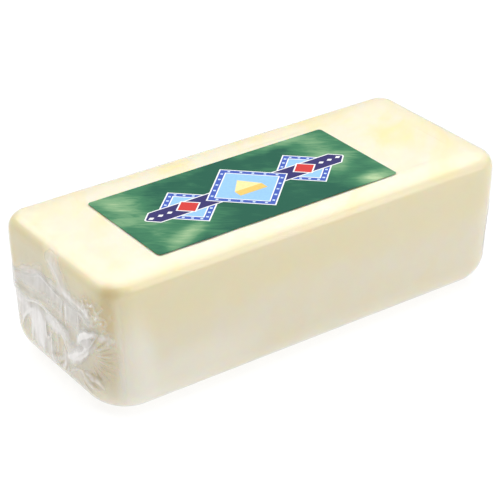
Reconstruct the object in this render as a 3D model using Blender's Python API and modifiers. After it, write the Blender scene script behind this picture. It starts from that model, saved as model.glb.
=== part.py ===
"""A cheddar block sealed in clear shrink film, with a printed label on top and a folded film tail at each end.

Metres, +Z up. The origin is the middle of the base, +X runs along the length, and the end
with the tail that faces the viewer is at -X.
"""

import math

import bmesh
import bpy

# Driving dimensions of the block
LENGTH = 0.280
WIDTH = 0.1165
HEIGHT = 0.0865
TOP_EDGE_RADIUS = 0.0088
BASE_EDGE_RADIUS = 0.0190
SHOULDER_WIDTH = 0.0110
SHOULDER_DROP = 0.0007

# Plan radii of the upright corners: far back, near back, near front, far front
TOP_CORNER_RADII = (0.0125, 0.0150, 0.0185, 0.0175)
BASE_CORNER_RADII = (0.0200, 0.0240, 0.0265, 0.0245)
SIDE_BOW = 0.0005

# Label
LABEL_LENGTH = 0.1660
LABEL_WIDTH = 0.0740
LABEL_THICKNESS = 0.0003
LABEL_CORNER_RADIUS = 0.0022
LABEL_CENTRE = (-0.0125, -0.0036)
LABEL_TURN = math.radians(0.2)

# Film pleats, which run out from the point where the film is gathered
GATHER_ACROSS = 0.0200
GATHER_HEIGHT = 0.0290
PLEAT_COUNT = 19
PLEAT_DEPTH = 0.00055
PLEAT_START = 0.0080
PLEAT_PEAK = 0.0240
PLEAT_END = 0.0560
PLEAT_WANDERS = 3
PLEAT_WANDER = 1.6
PLEAT_FULL_BELOW = 0.0475
PLEAT_NONE_ABOVE = 0.0690
PLEAT_FULL_INSET = 0.0010
PLEAT_NONE_INSET = 0.0100
FAR_END_PHASE = 1.9

# Film tail: where it starts and stops across the end, left to right from outside, and the
# heights of its fold and of its loose hem at even steps between
TAIL_LEFT = -0.0500
TAIL_RIGHT = 0.0460
TAIL_FOLD_HEIGHTS = (
    0.0545, 0.0560, 0.0580, 0.0605, 0.0640, 0.0675, 0.0650,
    0.0635, 0.0630, 0.0625, 0.0630, 0.0625, 0.0600,
)
TAIL_HEM_HEIGHTS = (
    0.0430, 0.0440, 0.0435, 0.0420, 0.0450, 0.0465, 0.0455,
    0.0430, 0.0370, 0.0285, 0.0340, 0.0420, 0.0540,
)
TAIL_THICKNESS = 0.0005
TAIL_STANDOFF = 0.0006
TAIL_LIFT = 0.0026
TAIL_LIFT_CURVE = 1.5
TAIL_PINNED_SHARE = 0.18
TAIL_RIPPLES = 7
TAIL_RIPPLE = 0.0005
TAIL_FOLD_RIPPLE = 0.3
TAIL_RIPPLE_SLANT = 2.0
TAIL_REACH = 0.0034
TAIL_COLUMNS = 40
TAIL_ROWS = 8

# Gap between the label and the film that it lies on
GAP = 0.0003

# Fineness of the block's mesh
END_STEPS = 27
SIDE_STEPS = 10
CORNER_STEPS = 5
WALL_STEPS = 17
TOP_EDGE_STEPS = 4
BASE_EDGE_STEPS = 6

COLOURS = {
    "cheddar": (0.93, 0.86, 0.62, 1.0),
    "label": (0.05, 0.27, 0.14, 1.0),
    "film": (0.90, 0.89, 0.86, 1.0),
}


def clear_scene():
    """Removes what the start-up scene holds."""
    for item in list(bpy.data.objects):
        bpy.data.objects.remove(item)


def blend(low, high, share):
    """A value between low and high, straight in share."""
    return low + (high - low) * share


def smooth_step(low, high, value):
    """0 below low, 1 above high and an even curve between."""
    share = min(1.0, max(0.0, (value - low) / (high - low)))
    return share * share * (3.0 - 2.0 * share)


def ripple(angle):
    """A wave from 0 to 1 that starts at its crest."""
    return 0.5 + 0.5 * math.cos(angle)


def corner_radii(height):
    """Plan radii of the four upright corners at a height, which grow towards the base."""
    share = smooth_step(0.0, HEIGHT, height)
    return [blend(base, top, share) for base, top in zip(BASE_CORNER_RADII, TOP_CORNER_RADII)]


def pleat_relief(across, height, phase):
    """How far the film's pleats stand out of an end, at a place across it and a height."""
    run = across - GATHER_ACROSS
    rise = height - GATHER_HEIGHT
    distance = math.hypot(run, rise)
    angle = math.atan2(rise, run)
    strength = smooth_step(PLEAT_START, PLEAT_PEAK, distance)
    strength *= 1.0 - smooth_step(PLEAT_PEAK, PLEAT_END, distance)
    strength *= 1.0 - smooth_step(PLEAT_FULL_BELOW, PLEAT_NONE_ABOVE, height)
    wander = PLEAT_WANDER * math.sin(PLEAT_WANDERS * angle + phase)
    return PLEAT_DEPTH * strength * ripple(PLEAT_COUNT * angle + wander)


def end_distance(across, height, end):
    """How far the film's skin at an end is from the block's middle. end is -1 near and +1 far."""
    radii = corner_radii(height)
    left, right = (radii[1], radii[2]) if end < 0 else (radii[3], radii[0])
    radius = left if across < 0.0 else right
    beyond = max(0.0, abs(across) - (WIDTH / 2 - radius))
    corner = radius - math.sqrt(max(0.0, radius * radius - beyond * beyond))
    phase = 0.0 if end < 0 else FAR_END_PHASE
    return LENGTH / 2 - corner + pleat_relief(across, height, phase)


def plan_outline(inset, height):
    """The block's outline in plan at a height, pulled in by inset, anticlockwise from the far end."""
    half_length = LENGTH / 2 - inset
    half_width = WIDTH / 2 - inset
    radii = [max(radius - inset, 0.0002) for radius in corner_radii(height)]
    corners = ((1, 1), (-1, 1), (-1, -1), (1, -1))
    points = []
    for turn, ((side_x, side_y), radius) in enumerate(zip(corners, radii)):
        middle_x = side_x * (half_length - radius)
        middle_y = side_y * (half_width - radius)
        for step in range(CORNER_STEPS + 1):
            angle = math.pi / 2 * (turn + step / CORNER_STEPS)
            points.append((middle_x + radius * math.cos(angle), middle_y + radius * math.sin(angle)))
        # The straight side up to the next corner: a long side after an even turn, else an end
        next_x, next_y = corners[(turn + 1) % 4]
        next_radius = radii[(turn + 1) % 4]
        start_x, start_y = points[-1]
        if turn % 2 == 0:
            stop_x, stop_y, steps = next_x * (half_length - next_radius), start_y, SIDE_STEPS
        else:
            stop_x, stop_y, steps = start_x, next_y * (half_width - next_radius), END_STEPS
        for step in range(1, steps):
            share = step / steps
            points.append((blend(start_x, stop_x, share), blend(start_y, stop_y, share)))
    return points


def with_relief(x, y, z):
    """A point of the block's wall, moved by the pleats of the ends and the bow of the long sides."""
    end = -1 if x < 0.0 else 1
    phase = 0.0 if end < 0 else FAR_END_PHASE
    share = smooth_step(LENGTH / 2 - PLEAT_NONE_INSET, LENGTH / 2 - PLEAT_FULL_INSET, abs(x))
    share *= smooth_step(0.0, BASE_EDGE_RADIUS / 2, z)
    x += end * pleat_relief(end * y, z, phase) * share
    along = max(0.0, 1.0 - (2.0 * x / LENGTH) ** 2)
    up = math.sin(math.pi * min(1.0, max(0.0, z / HEIGHT)))
    y -= math.copysign(SIDE_BOW * along * up, y)
    return x, y, z


def block_rings():
    """(inset, height) of each outline of the block, from the base to the top's flat field."""
    rings = []
    for step in range(BASE_EDGE_STEPS + 1):
        angle = math.pi / 2 * step / BASE_EDGE_STEPS
        inset = BASE_EDGE_RADIUS * (1.0 - math.sin(angle))
        rings.append((inset, BASE_EDGE_RADIUS * (1.0 - math.cos(angle))))
    shoulder = HEIGHT - SHOULDER_DROP
    wall_top = shoulder - TOP_EDGE_RADIUS
    for step in range(1, WALL_STEPS):
        rings.append((0.0, blend(BASE_EDGE_RADIUS, wall_top, step / WALL_STEPS)))
    for step in range(TOP_EDGE_STEPS + 1):
        angle = math.pi / 2 * step / TOP_EDGE_STEPS
        inset = TOP_EDGE_RADIUS * (1.0 - math.cos(angle))
        rings.append((inset, wall_top + TOP_EDGE_RADIUS * math.sin(angle)))
    rings.append((TOP_EDGE_RADIUS + 0.5 * SHOULDER_WIDTH, HEIGHT - 0.25 * SHOULDER_DROP))
    rings.append((TOP_EDGE_RADIUS + SHOULDER_WIDTH, HEIGHT))
    return rings


def new_material(name, roughness):
    """A plain material in the part's colour."""
    material = bpy.data.materials.new(name)
    material.use_nodes = True
    shader = material.node_tree.nodes["Principled BSDF"]
    shader.inputs["Base Color"].default_value = COLOURS[name]
    shader.inputs["Roughness"].default_value = roughness
    shader.inputs["Metallic"].default_value = 0.0
    return material


def new_object(name, data, material, collection):
    """An object of the part, in its collection and with its material."""
    item = bpy.data.objects.new(name, data)
    item.data.materials.append(material)
    collection.objects.link(item)
    return item


def make_block(material, collection):
    """The wrapped block: a loft through its outlines, flat below and on the label's field."""
    mesh = bmesh.new()
    loops = []
    for inset, height in block_rings():
        outline = [with_relief(x, y, height) for x, y in plan_outline(inset, height)]
        loops.append([mesh.verts.new(point) for point in outline])
    count = len(loops[0])
    for lower, upper in zip(loops, loops[1:]):
        for i in range(count):
            j = (i + 1) % count
            mesh.faces.new((lower[i], lower[j], upper[j], upper[i]))
    mesh.faces.new(list(reversed(loops[0])))
    mesh.faces.new(loops[-1])
    data = bpy.data.meshes.new("wrapped_cheddar")
    mesh.to_mesh(data)
    mesh.free()
    data.shade_smooth()
    data.set_sharp_from_angle(angle=math.radians(40))
    return new_object("wrapped_cheddar", data, material, collection)


def make_label(material, collection):
    """The label: a flat outline with round corners, extruded to its thickness."""
    curve = bpy.data.curves.new("label", "CURVE")
    curve.dimensions = "2D"
    curve.fill_mode = "BOTH"
    curve.extrude = LABEL_THICKNESS / 2
    half_length = LABEL_LENGTH / 2 - LABEL_CORNER_RADIUS
    half_width = LABEL_WIDTH / 2 - LABEL_CORNER_RADIUS
    points = []
    for turn, (side_x, side_y) in enumerate(((1, 1), (-1, 1), (-1, -1), (1, -1))):
        for step in range(CORNER_STEPS + 1):
            angle = math.pi / 2 * (turn + step / CORNER_STEPS)
            x = side_x * half_length + LABEL_CORNER_RADIUS * math.cos(angle)
            y = side_y * half_width + LABEL_CORNER_RADIUS * math.sin(angle)
            points.append((x, y))
    spline = curve.splines.new("POLY")
    spline.points.add(len(points) - 1)
    for point, (x, y) in zip(spline.points, points):
        point.co = (x, y, 0.0, 1.0)
    spline.use_cyclic_u = True
    label = new_object("label", curve, material, collection)
    label.location = (*LABEL_CENTRE, HEIGHT + GAP + LABEL_THICKNESS / 2)
    label.rotation_euler = (0.0, 0.0, LABEL_TURN)
    return label


def along_curve(values, share):
    """A value at a share of the way along evenly spaced values, on a smooth curve through them."""
    last = len(values) - 1
    index = min(int(share * last), last - 1)
    part = share * last - index
    before, low = values[max(index - 1, 0)], values[index]
    high, after = values[index + 1], values[min(index + 2, last)]
    square, cube = part * part, part ** 3
    return (
        low * (2 * cube - 3 * square + 1)
        + (high - before) / 2 * (cube - 2 * square + part)
        + high * (3 * square - 2 * cube)
        + (after - low) / 2 * (cube - square)
    )


def tail_point(across_share, down_share, end):
    """A point on the tail's inner face. It lies on the end at its fold and lifts off at its hem."""
    across = blend(TAIL_LEFT, TAIL_RIGHT, across_share)
    fold = along_curve(TAIL_FOLD_HEIGHTS, across_share)
    hem = along_curve(TAIL_HEM_HEIGHTS, across_share)
    height = blend(fold, hem, down_share)
    freedom = smooth_step(0.0, TAIL_PINNED_SHARE, min(across_share, 1.0 - across_share))
    lift = TAIL_LIFT * freedom * down_share ** TAIL_LIFT_CURVE
    wave = ripple(2.0 * math.pi * TAIL_RIPPLES * across_share + TAIL_RIPPLE_SLANT * down_share)
    lift += TAIL_RIPPLE * wave * blend(TAIL_FOLD_RIPPLE, 1.0, down_share)
    reach = end_distance(across, height, end) + TAIL_STANDOFF
    outward = min(reach + lift, LENGTH / 2 + TAIL_REACH - TAIL_THICKNESS)
    return end * outward, end * across, height


def make_tail(name, end, material, collection):
    """A film tail: a grid laid over the end and given its thickness outwards."""
    bpy.ops.mesh.primitive_grid_add(x_subdivisions=TAIL_COLUMNS, y_subdivisions=TAIL_ROWS, size=1.0)
    tail = bpy.context.active_object
    tail.name = name
    tail.data.name = name
    for vertex in tail.data.vertices:
        vertex.co = tail_point(vertex.co.x + 0.5, 0.5 - vertex.co.y, end)
    mesh = bmesh.new()
    mesh.from_mesh(tail.data)
    mesh.normal_update()
    if sum(face.normal.x for face in mesh.faces) * end < 0.0:
        bmesh.ops.reverse_faces(mesh, faces=mesh.faces)
    bmesh.ops.triangulate(mesh, faces=mesh.faces)
    mesh.to_mesh(tail.data)
    mesh.free()
    tail.data.materials.append(material)
    for owner in tail.users_collection:
        owner.objects.unlink(tail)
    collection.objects.link(tail)
    thickness = tail.modifiers.new("thickness", "SOLIDIFY")
    thickness.thickness = TAIL_THICKNESS
    thickness.offset = 1.0
    return tail


def main():
    """Builds the wrapped block, its label and the film tail at each end."""
    clear_scene()
    collection = bpy.data.collections.new("cheddar_block")
    bpy.context.scene.collection.children.link(collection)
    cheddar = new_material("cheddar", 0.35)
    film = new_material("film", 0.20)
    make_block(cheddar, collection)
    make_label(new_material("label", 0.30), collection)
    make_tail("film_tail_near", -1, film, collection)
    make_tail("film_tail_far", 1, film, collection)


main()
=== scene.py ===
"""A cheddar block in clear shrink film, with a printed label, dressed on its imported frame.

Metres, +Z up. The origin is the middle of the base, +X runs along the length, and the end that
the camera sees is at -X. A place on the skin is a girth and a climb. Girth is the way round the
block from the middle of an end, to the right as seen from outside. Climb is the way up over the
skin, and on the upright wall it is the height.
"""

import logging
import math
from collections.abc import Iterator
from contextlib import contextmanager
from dataclasses import dataclass, field
from enum import Enum, IntEnum

import bpy
import numpy as np
from mathutils import Matrix, Vector, noise


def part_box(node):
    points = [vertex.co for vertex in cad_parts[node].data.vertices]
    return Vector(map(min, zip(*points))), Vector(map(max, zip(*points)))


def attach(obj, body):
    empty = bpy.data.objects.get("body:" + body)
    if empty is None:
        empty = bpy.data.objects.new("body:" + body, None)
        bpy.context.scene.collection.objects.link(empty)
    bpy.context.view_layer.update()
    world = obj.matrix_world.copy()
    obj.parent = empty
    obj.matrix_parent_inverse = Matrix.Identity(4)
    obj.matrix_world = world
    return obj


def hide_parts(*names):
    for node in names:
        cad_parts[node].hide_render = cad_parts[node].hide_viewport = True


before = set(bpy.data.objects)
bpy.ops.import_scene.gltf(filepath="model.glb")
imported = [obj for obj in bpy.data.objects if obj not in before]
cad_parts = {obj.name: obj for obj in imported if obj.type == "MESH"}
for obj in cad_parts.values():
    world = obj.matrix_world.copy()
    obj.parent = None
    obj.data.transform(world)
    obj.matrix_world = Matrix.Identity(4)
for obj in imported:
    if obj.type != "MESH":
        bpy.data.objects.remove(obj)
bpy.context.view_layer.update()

log = logging.getLogger("cheddar_block")

MM = 0.001
WELD = 1e-6
NOISE_SHIFT = (1.0, 0.7, 1.3)
SPOT_CORE = 0.1
PATCH_CORE = 0.35
PATCH_EDGE = 1.15

Array = np.ndarray
Colour = tuple[float, float, float]
Place = tuple[float, float]
Spot = tuple[Place, Place, float, float]
Piece = bpy.types.Object
Mesh = bpy.types.Mesh
Material = bpy.types.Material
Node = bpy.types.Node
Socket = bpy.types.NodeSocket


class End(Enum):
    """The block's two ends, by the side of its middle that each is on."""

    NEAR = -1
    FAR = 1


def smooth_step(low: float, high: float, value: Array) -> Array:
    """Eases from 0 at low to 1 at high.

    Args:
        low: Where the step starts.
        high: Where it ends.
        value: The values to ease.

    Returns:
        A share from 0 to 1 for each value.
    """
    share = np.clip((value - low) / (high - low), 0.0, 1.0)
    return share * share * (3.0 - 2.0 * share)


def smooth_route(places: tuple[Place, ...], steps: int) -> Array:
    """Draws a smooth curve through a few places.

    Args:
        places: The places that the curve goes through.
        steps: How many pieces lie between one place and the next.

    Returns:
        The curve's points, one row each.
    """
    route = np.array(places, float)
    padded = np.vstack((2 * route[0] - route[1], route, 2 * route[-1] - route[-2]))
    points = []
    for index in range(len(route) - 1):
        before, low, high, after = padded[index : index + 4]
        for step in range(steps):
            t = step / steps
            rise = (high - before) * t + (2 * before - 5 * low + 4 * high - after) * t ** 2
            points.append(low + 0.5 * (rise + (3 * low - before - 3 * high + after) * t ** 3))
    points.append(route[-1])
    return np.array(points)


def cloudiness(points: Array, size: float, seed: float) -> Array:
    """Reads smooth noise at points.

    Args:
        points: One row of three numbers for each point.
        size: The size of the noise's features, in the points' unit.
        seed: Which noise it is.

    Returns:
        A number from about -1 to 1 for each point.
    """
    shift = Vector([seed * share for share in NOISE_SHIFT])
    return np.array([noise.noise(Vector(point) / size + shift) for point in points.tolist()])


def select_only(piece: Piece) -> None:
    """Makes a piece the only selected one, and the active one."""
    bpy.ops.object.select_all(action="DESELECT")
    piece.select_set(True)
    bpy.context.view_layer.objects.active = piece


def added(name: str) -> Piece:
    """Names the object that a primitive operator has just added, and its mesh."""
    piece = bpy.context.active_object
    piece.name = name
    piece.data.name = name
    select_only(piece)
    return piece


def set_places(mesh: Mesh, places: Array) -> None:
    """Puts a mesh's vertices at places, one row each."""
    mesh.vertices.foreach_set("co", places.astype(np.float32).ravel())
    mesh.update()


def get_places(mesh: Mesh) -> Array:
    """Reads the places of a mesh's vertices, one row each."""
    places = np.empty(len(mesh.vertices) * 3, np.float32)
    mesh.vertices.foreach_get("co", places)
    return places.reshape(-1, 3).astype(float)


def paint(piece: Piece, paints: dict[str, Array]) -> None:
    """Stores numbers for each vertex of a piece, for its finish to read.

    Args:
        piece: The piece to paint.
        paints: The numbers by attribute name, in the order of the vertices.
    """
    for name, values in paints.items():
        attribute = piece.data.attributes.new(name, "FLOAT", "POINT")
        attribute.data.foreach_set("value", values.astype(np.float32))


@contextmanager
def editing() -> Iterator[None]:
    """Opens the active piece in edit mode with all of it selected, and closes it afterwards."""
    bpy.ops.object.mode_set(mode="EDIT")
    bpy.ops.mesh.select_all(action="SELECT")
    yield
    bpy.ops.object.mode_set(mode="OBJECT")


def thicken(piece: Piece, front: Vector, thickness: float) -> None:
    """Makes a closed solid of a sheet, with all of the thickness in front of it.

    Args:
        piece: The sheet, the active piece.
        front: The way that its front faces on the whole.
        thickness: How thick it gets.
    """
    with editing():
        bpy.ops.mesh.normals_make_consistent(inside=False)
    if sum(polygon.normal.dot(front) for polygon in piece.data.polygons) < 0.0:
        with editing():
            bpy.ops.mesh.flip_normals()
    solid = piece.modifiers.new("thickness", "SOLIDIFY")
    solid.thickness = thickness
    solid.offset = 1.0
    select_only(piece)
    bpy.ops.object.modifier_apply(modifier=solid.name)


def install(piece: Piece, slot: str, *nodes: str) -> None:
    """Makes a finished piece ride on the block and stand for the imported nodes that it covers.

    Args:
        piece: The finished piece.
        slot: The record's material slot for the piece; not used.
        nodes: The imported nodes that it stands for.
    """
    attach(piece, "root")
    if nodes:
        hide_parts(*nodes)
    log.info("%s: %d faces", piece.name, len(piece.data.polygons))


# Finishes


@dataclass(frozen=True)
class Grain:
    """A noise: how large its features are, and how many finer layers it has, how strong and stirred."""

    size: float
    detail: float = 2.0
    roughness: float = 0.5
    distortion: float = 0.0


class NodeBench:
    """A material's node tree, with short ways to add and join its nodes."""

    def __init__(self, name: str) -> None:
        """Starts a material with nothing but its output.

        Args:
            name: The material's name.
        """
        self.material = bpy.data.materials.new(name)
        self.material.use_nodes = True
        self.tree = self.material.node_tree
        self.tree.nodes.clear()
        self.output = self.tree.nodes.new("ShaderNodeOutputMaterial")

    def add(self, kind: str, settings: dict | None = None, **inputs: object) -> Node:
        """Adds a node.

        Args:
            kind: The node's type, without its ShaderNode prefix.
            settings: The node's own properties, by name.
            inputs: Values or outputs for its inputs, by name with _ for a space.

        Returns:
            The new node.
        """
        node = self.tree.nodes.new("ShaderNode" + kind)
        for key, value in (settings or {}).items():
            setattr(node, key, value)
        for key, value in inputs.items():
            self.feed(node.inputs[key.replace("_", " ")], value)
        return node

    def feed(self, socket: Socket, value: object) -> None:
        """Links an output to an input socket, or sets the socket's own value."""
        if isinstance(value, Socket):
            self.tree.links.new(value, socket)
        else:
            socket.default_value = value

    def place(self, scale: Colour = (1.0, 1.0, 1.0), turn: float = 0.0,
              centre: Colour = (0.0, 0.0, 0.0)) -> Socket:
        """Reads object coordinates, centred, turned about the vertical and stretched.

        Args:
            scale: How much each axis is multiplied by.
            turn: The turn about the vertical, in radians.
            centre: The point that becomes the origin.

        Returns:
            The coordinates' output.
        """
        source = self.add("TexCoord").outputs["Object"]
        settings = {"vector_type": "TEXTURE"}
        turned = self.add("Mapping", settings, Vector=source, Location=centre, Rotation=(0, 0, turn))
        return self.add("Mapping", Vector=turned.outputs[0], Scale=scale).outputs[0]

    def noise(self, place: Socket, grain: Grain) -> Socket:
        """Adds a noise pattern from 0 to 1 that reads some coordinates."""
        node = self.add("TexNoise", None, Vector=place, Scale=1.0 / grain.size, Detail=grain.detail,
                        Roughness=grain.roughness, Distortion=grain.distortion)
        return node.outputs["Fac"]

    def span(self, value: Socket, low: float, high: float, start: float = 0.0,
             stop: float = 1.0) -> Socket:
        """Eases a value from start to stop as it goes from low to high."""
        settings = {"interpolation_type": "SMOOTHSTEP"}
        node = self.add("MapRange", settings, Value=value)
        for name, number in zip(("From Min", "From Max", "To Min", "To Max"), (low, high, start, stop)):
            node.inputs[name].default_value = number
        return node.outputs["Result"]

    def spots(self, value: Socket, place: Socket, spots: tuple[Spot, ...]) -> Socket:
        """Adds soft ovals, as seen from above, to a value.

        Args:
            value: The value that they are added to.
            place: The coordinates that they read.
            spots: Each oval's middle, its reach along its own two axes, its turn and its strength.

        Returns:
            The value with the ovals added.
        """
        flat = self.add("VectorMath", {"operation": "MULTIPLY"}, Vector=place)
        flat.inputs[1].default_value = (1.0, 1.0, 0.0)
        for middle, reach, turn, strength in spots:
            oval = self.add(
                "Mapping", {"vector_type": "TEXTURE"}, Vector=flat.outputs[0],
                Location=(*middle, 0.0), Rotation=(0.0, 0.0, turn), Scale=(*reach, 1.0),
            )
            distance = self.add("VectorMath", {"operation": "LENGTH"}, Vector=oval.outputs[0])
            fade = self.span(distance.outputs["Value"], SPOT_CORE, 1.0, strength, 0.0)
            value = self.math("ADD", value, fade)
        return value

    def math(self, operation: str, first: object, second: object = 0.0) -> Socket:
        """Joins two values by an operation of the Math node."""
        node = self.add("Math", {"operation": operation})
        self.feed(node.inputs[0], first)
        self.feed(node.inputs[1], second)
        return node.outputs[0]

    def mix(self, share: object, low: object, high: object) -> Socket:
        """Mixes two colours by a share. Each is an output or three numbers."""
        node = self.add("Mix", {"data_type": "RGBA"})
        for name, value in (("A", low), ("B", high)):
            socket = next(s for s in node.inputs if s.name == name and s.type == "RGBA")
            self.feed(socket, (*value, 1.0) if isinstance(value, tuple) else value)
        self.feed(node.inputs[0], share)
        return next(s for s in node.outputs if s.type == "RGBA")

    def shader_mix(self, share: Socket, low: Node, high: Node) -> Node:
        """Mixes two shaders by a share."""
        node = self.add("MixShader")
        for socket, value in zip(node.inputs, (share, low.outputs[0], high.outputs[0])):
            self.feed(socket, value)
        return node

    def bump(self, height: Socket, depth: float, under: Socket | None = None) -> Socket:
        """Turns a height from 0 to 1 into a normal.

        Args:
            height: The height's output.
            depth: The relief's depth, in metres.
            under: A coarser normal that it adds to.

        Returns:
            The normal's output.
        """
        node = self.add("Bump", None, Height=height, Strength=1.0, Distance=depth)
        if under is not None:
            self.feed(node.inputs["Normal"], under)
        return node.outputs["Normal"]

    def attribute(self, name: str) -> Socket:
        """Reads a number that is painted on the piece."""
        return self.add("Attribute", {"attribute_name": name}).outputs["Fac"]

    def finish(self, shader: Node) -> Material:
        """Joins a shader to the output and returns the material."""
        self.tree.links.new(shader.outputs[0], self.output.inputs["Surface"])
        return self.material


@dataclass(frozen=True)
class CheddarFinish:
    """Young pale cheddar, a little see-through, with cloudy yellow patches and a fine curd grain."""

    cream: Colour = (0.775, 0.715, 0.545)
    pale: Colour = (0.785, 0.745, 0.635)
    ripe: Colour = (0.790, 0.700, 0.370)
    tan: Colour = (0.650, 0.515, 0.245)
    # Paler cheese by the upright corner and low on the front: partly the film's haze, partly painted
    # sheen and highlight.
    haze_and_sheen: Colour = (0.845, 0.815, 0.720)
    patches: Grain = Grain(0.030, 4.0, 0.55, 1.2)
    patch_stretch: Colour = (1.0, 0.45, 1.0)
    patch_turn: float = -0.85
    patch_span: Place = (0.50, 0.86)
    top_height: Place = (0.0790, 0.0850)
    top_spots: tuple[Spot, ...] = (
        ((0.106, 0.008), (0.044, 0.050), 0.5, 0.20),
        ((0.080, 0.042), (0.034, 0.026), 0.5, 0.17),
        ((-0.116, 0.030), (0.034, 0.040), 0.2, 0.15),
        ((-0.116, -0.030), (0.020, 0.040), -0.4, 0.11),
        ((-0.020, 0.048), (0.110, 0.014), 0.0, 0.13),
    )
    side_patches: float = 0.25
    clouds: Grain = Grain(0.016, 3.0, 0.6)
    cloud_span: Place = (0.40, 0.66)
    cloud_paleness: float = 0.40
    # How much paler the top is painted: a painted sheen of the top light.
    top_painted_sheen: float = 0.08
    curd: Grain = Grain(0.0022, 3.0, 0.6)
    curd_depth: float = 0.00008
    roughness: float = 0.42
    glow_depth: float = 0.0030
    glow_spread: Colour = (1.0, 0.62, 0.30)

    def material(self) -> Material:
        """Builds the cheese's material."""
        bench = NodeBench("cheddar")
        place = bench.place()
        strokes = bench.place(self.patch_stretch, self.patch_turn)
        blotch = bench.spots(bench.noise(strokes, self.patches), place, self.top_spots)
        clouds = bench.span(bench.noise(place, self.clouds), *self.cloud_span)
        height = bench.add("SeparateXYZ", None, Vector=place).outputs["Z"]
        # The pale clouds are the cheese's own; the top is also painted paler, a painted sheen of the top
        # light.
        pale_and_top_sheen = bench.math("ADD", bench.math("MULTIPLY", clouds, self.cloud_paleness),
                              bench.span(height, *self.top_height, 0.0, self.top_painted_sheen))
        colour = bench.mix(pale_and_top_sheen, self.cream, self.pale)
        ripeness = bench.math("MULTIPLY", bench.span(blotch, *self.patch_span),
                              bench.span(height, *self.top_height, self.side_patches, 1.0))
        ripeness = bench.math("ADD", ripeness, bench.attribute("ripe"))
        colour = bench.mix(ripeness, colour, self.ripe)
        # Film haze and painted sheen, mixed into the cheese colour.
        colour = bench.mix(bench.attribute("haze_and_sheen"), colour, self.haze_and_sheen)
        colour = bench.mix(bench.attribute("tan"), colour, self.tan)
        curd = bench.noise(place, self.curd)
        shader = bench.add(
            "BsdfPrincipled", None, Base_Color=colour, Roughness=self.roughness,
            Subsurface_Weight=1.0, Subsurface_Radius=self.glow_spread,
            Subsurface_Scale=self.glow_depth, Normal=bench.bump(curd, self.curd_depth),
        )
        return bench.finish(shader)


@dataclass(frozen=True)
class FilmFinish:
    """Clear glossy shrink film, milky by the paint called haze and darkened by painted shade between its
    pleats, read from the paint called shade.
    """

    name: str
    milk: Colour = (0.985, 0.963, 0.936)
    # Painted shade between pleats: the dark olive that the film turns to there, and how much of the
    # cheese it covers.
    shade_colour: Colour = (0.480, 0.400, 0.230)
    shade_cover: float = 0.60
    roughness: float = 0.20
    face_on_shine: float = 0.036
    slant_power: float = 5.0
    ripples: Grain = Grain(0.012, 1.0)
    ripple_depth: float = 0.00020
    crinkles: Grain = Grain(0.0024, 2.0, 0.5, 0.8)
    crinkle_depth: float = 0.00006
    streaks: Grain = Grain(0.0030)
    streak_stretch: Colour = (1.0, 1.0, 0.30)
    streak_span: tuple[float, ...] = (0.30, 0.70, 0.90, 1.08)

    def material(self) -> Material:
        """Builds the film's material."""
        bench = NodeBench(self.name)
        place = bench.place()
        ripples = bench.bump(bench.noise(place, self.ripples), self.ripple_depth)
        crinkles = bench.math("MULTIPLY", bench.noise(place, self.crinkles), bench.attribute("crumple"))
        normal = bench.bump(crinkles, self.crinkle_depth, ripples)
        upright = bench.place(self.streak_stretch)
        streaks = bench.span(bench.noise(upright, self.streaks), *self.streak_span)
        # Painted shade: between pleats the film is mixed towards a dark olive that hides part of the
        # cheese.
        shade = bench.attribute("shade")
        milky = bench.math("MULTIPLY", bench.attribute("haze"), streaks)
        milky = bench.math("MAXIMUM", milky, bench.math("MULTIPLY", shade, self.shade_cover))
        colour = bench.mix(shade, self.milk, self.shade_colour)
        clear = bench.add("BsdfTransparent")
        milk = bench.add(
            "BsdfPrincipled", None, Base_Color=colour, Roughness=1.0,
            Specular_IOR_Level=0.0, Normal=ripples,
        )
        body = bench.shader_mix(milky, clear, milk)
        slant = bench.add("LayerWeight", None, Blend=0.5, Normal=normal).outputs["Facing"]
        glance = bench.math("POWER", slant, self.slant_power)
        glance = bench.math("MULTIPLY", glance, 1.0 - self.face_on_shine)
        gloss = bench.add("BsdfGlossy", None, Roughness=self.roughness, Normal=normal)
        shine = bench.math("ADD", glance, self.face_on_shine)
        return bench.finish(bench.shader_mix(shine, body, gloss))


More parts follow.
